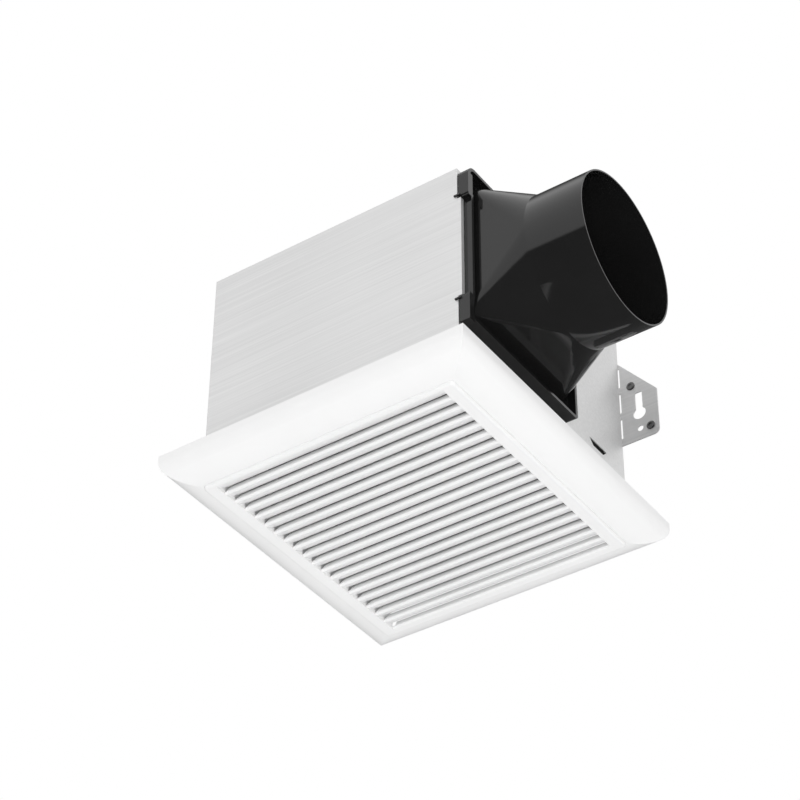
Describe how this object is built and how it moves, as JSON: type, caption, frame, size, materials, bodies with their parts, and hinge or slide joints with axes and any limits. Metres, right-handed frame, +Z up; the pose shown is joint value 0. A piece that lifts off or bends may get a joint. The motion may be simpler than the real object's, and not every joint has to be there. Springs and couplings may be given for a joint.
{
  "type": "bathroom exhaust fan",
  "caption": "Ceiling exhaust fan: folded steel housing with joist ears, round duct collar with a flap, centrifugal blower and a white louvred grille held by spring arms.",
  "frame": {"origin": "centre of the housing mouth, on the ceiling plane", "axes": "+Z up into the ceiling, +X along the duct outlet, +Y towards the joist"},
  "size_m": [0.2884, 0.2292, 0.167],
  "materials": {
    "galvanised_sheet": "bright galvanised, faint brushing",
    "black_plastic": "glossy",
    "white_plastic": "satin",
    "black_sheet": "black coated sheet",
    "dark_rivet": "satin",
    "zinc_steel": "zinc plated",
    "grey_plastic": "matte",
    "lamination": "oiled laminations",
    "rotor_metal": "turned",
    "bobbin_plastic": "matte",
    "copper_wire": "enamelled",
    "bearing_bronze": "sintered",
    "grommet_rubber": "matte",
    "receptacle_plastic": "matte",
    "ground_green": "satin",
    "spring_wire": "drawn wire"
  },
  "bodies": {
    "housing": {"housing_shell": "galvanised_sheet", "ear_rivets": "dark_rivet", "duct_adapter": "black_plastic", "damper_pin": "zinc_steel", "scroll_case": "galvanised_sheet", "inlet_plate": "black_sheet", "inlet_ring": "grey_plastic", "inlet_ring_screws": "zinc_steel", "plate_brackets": "galvanised_sheet", "plate_screws": "zinc_steel", "motor_plate": "galvanised_sheet", "motor_plate_screws": "zinc_steel", "motor_standoffs": "zinc_steel", "motor_grommets": "grommet_rubber", "stator_core": "lamination", "coil_bobbin": "bobbin_plastic", "coil_winding": "copper_wire", "upper_bearing_bracket": "galvanised_sheet", "lower_bearing_bracket": "galvanised_sheet", "upper_bearing": "bearing_bronze", "lower_bearing": "bearing_bronze", "motor_screws": "zinc_steel", "motor_nuts": "zinc_steel", "wiring_box": "galvanised_sheet", "wiring_cover": "galvanised_sheet", "cover_screw": "zinc_steel", "receptacle": "receptacle_plastic", "ground_screw": "ground_green", "left_spring_bracket": "galvanised_sheet", "right_spring_bracket": "galvanised_sheet"},
    "blower": {"blower_wheel": "galvanised_sheet", "wheel_ring": "galvanised_sheet", "wheel_blades": "galvanised_sheet", "wheel_nut": "zinc_steel", "motor_shaft": "zinc_steel", "rotor_core": "rotor_metal"},
    "damper": {"damper_flap": "black_plastic"},
    "grille_panel": {"grille": "white_plastic"},
    "right_rear_arm_body": {"right_spring_rear_arm": "spring_wire"},
    "right_front_arm_body": {"right_spring_front_arm": "spring_wire"},
    "left_rear_arm_body": {"left_spring_rear_arm": "spring_wire"},
    "left_front_arm_body": {"left_spring_front_arm": "spring_wire"}
  },
  "joints": [
    {"name": "blower_spin", "type": "hinge", "parent": "housing", "child": "blower", "pos_m": [-0.009, 0.0075, 0.1], "axis": [0, 0, 1], "continuous": true},
    {"name": "damper_swing", "type": "hinge", "parent": "housing", "child": "damper", "pos_m": [0.098, -0.0335, 0.129], "axis": [0, -1, 0], "range_deg": [0, 50]},
    {"name": "grille_drop", "type": "slide", "parent": "housing", "child": "grille_panel", "axis": [0, 0, -1], "range_m": [0, 0.055], "stiffness_N_per_m": 60, "springref_m": -0.06},
    {"name": "right_rear_arm_fold", "type": "hinge", "parent": "grille_panel", "child": "right_rear_arm_body", "pos_m": [0.0875, 0, -0.009], "axis": [1, 0, 0], "range_deg": [0, 50.5]},
    {"name": "right_front_arm_fold", "type": "hinge", "parent": "grille_panel", "child": "right_front_arm_body", "pos_m": [0.0849, 0, -0.009], "axis": [1, 0, 0], "range_deg": [-50.5, 0]},
    {"name": "left_rear_arm_fold", "type": "hinge", "parent": "grille_panel", "child": "left_rear_arm_body", "pos_m": [-0.0849, 0, -0.009], "axis": [1, 0, 0], "range_deg": [0, 50.5]},
    {"name": "left_front_arm_fold", "type": "hinge", "parent": "grille_panel", "child": "left_front_arm_body", "pos_m": [-0.0875, 0, -0.009], "axis": [1, 0, 0], "range_deg": [-50.5, 0]}
  ],
  "couplings": [
    {"joint": "right_rear_arm_fold", "follows": "grille_drop", "rad_per_m": 15.867},
    {"joint": "right_front_arm_fold", "follows": "grille_drop", "rad_per_m": -15.867},
    {"joint": "left_rear_arm_fold", "follows": "grille_drop", "rad_per_m": 15.867},
    {"joint": "left_front_arm_fold", "follows": "grille_drop", "rad_per_m": -15.867}
  ]
}
